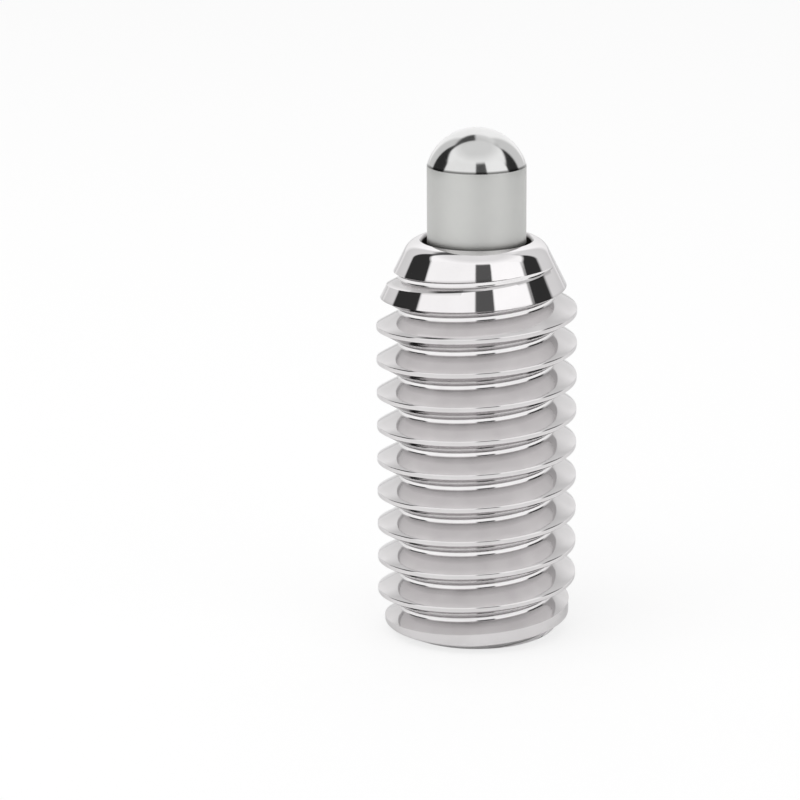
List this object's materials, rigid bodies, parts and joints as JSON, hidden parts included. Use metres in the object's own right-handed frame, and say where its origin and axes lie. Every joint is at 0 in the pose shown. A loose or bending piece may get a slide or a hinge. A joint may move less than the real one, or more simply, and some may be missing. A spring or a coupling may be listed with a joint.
{
  "type": "spring plunger",
  "caption": "Threaded spring plunger with a long-stroke domed pin, a cone nose and a hexagon socket in its rear end.",
  "frame": {"origin": "centre of the sleeve's flat rear face, which it stands on", "axes": "+Z along the thread's axis, towards the pin's nose"},
  "size_m": [0.0058, 0.0058, 0.015],
  "materials": {
    "sleeve_steel": "bright turned stainless steel",
    "pin_steel": "satin ground shank with a polished dome",
    "spring_wire": "drawn stainless spring wire"
  },
  "bodies": {
    "sleeve": {"threaded_sleeve": "sleeve_steel", "compression_spring": "spring_wire"},
    "pin": {"plunger_pin": "pin_steel"}
  },
  "joints": [
    {"name": "pin_slide", "type": "slide", "parent": "sleeve", "child": "pin", "axis": [0, 0, -1], "range_m": [0, 0.0032], "stiffness_N_per_m": 2800, "springref_m": -0.0017, "deforming": ["compression_spring"]}
  ]
}
